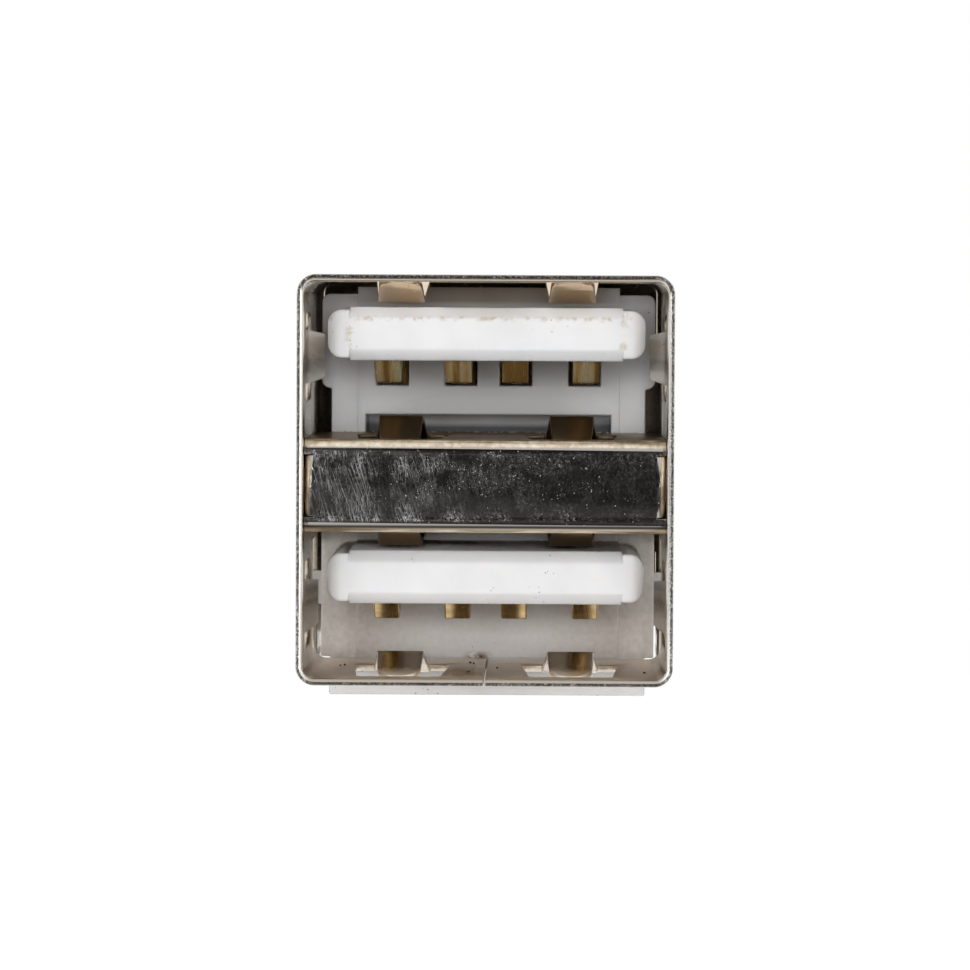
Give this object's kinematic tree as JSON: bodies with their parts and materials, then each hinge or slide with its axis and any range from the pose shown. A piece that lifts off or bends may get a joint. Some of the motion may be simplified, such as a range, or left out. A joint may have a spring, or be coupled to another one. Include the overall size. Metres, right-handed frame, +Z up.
{
  "type": "stacked usb socket",
  "caption": "Board socket with type A usb ports one above the other in a folded nickel shell with spring fingers, white tongues and gilt bowed contacts.",
  "frame": {"origin": "middle of the part's box, on the board plane under the foot", "axes": "+X across the mouth, +Y from the mouth into the ports, +Z up from the board"},
  "size_m": [0.0136, 0.0174, 0.0152],
  "materials": {
    "nickel_shell": "bright nickel plate, scuffed",
    "nickel_cover": "bright nickel plate",
    "nickel_divider": "mirror bright nickel plate with scratches",
    "white_moulding": "smooth moulded plastic",
    "locator_moulding": "smooth moulded plastic",
    "gilt_contact": "thin gold plate"
  },
  "bodies": {
    "root": {"outer_shell": "nickel_shell", "rear_cover": "nickel_cover", "port_divider": "nickel_divider", "insulator": "white_moulding", "tail_locator": "locator_moulding", "upper_contact_1": "gilt_contact", "upper_contact_2": "gilt_contact", "upper_contact_3": "gilt_contact", "upper_contact_4": "gilt_contact", "lower_contact_1": "gilt_contact", "lower_contact_2": "gilt_contact", "lower_contact_3": "gilt_contact", "lower_contact_4": "gilt_contact"}
  },
  "joints": []
}
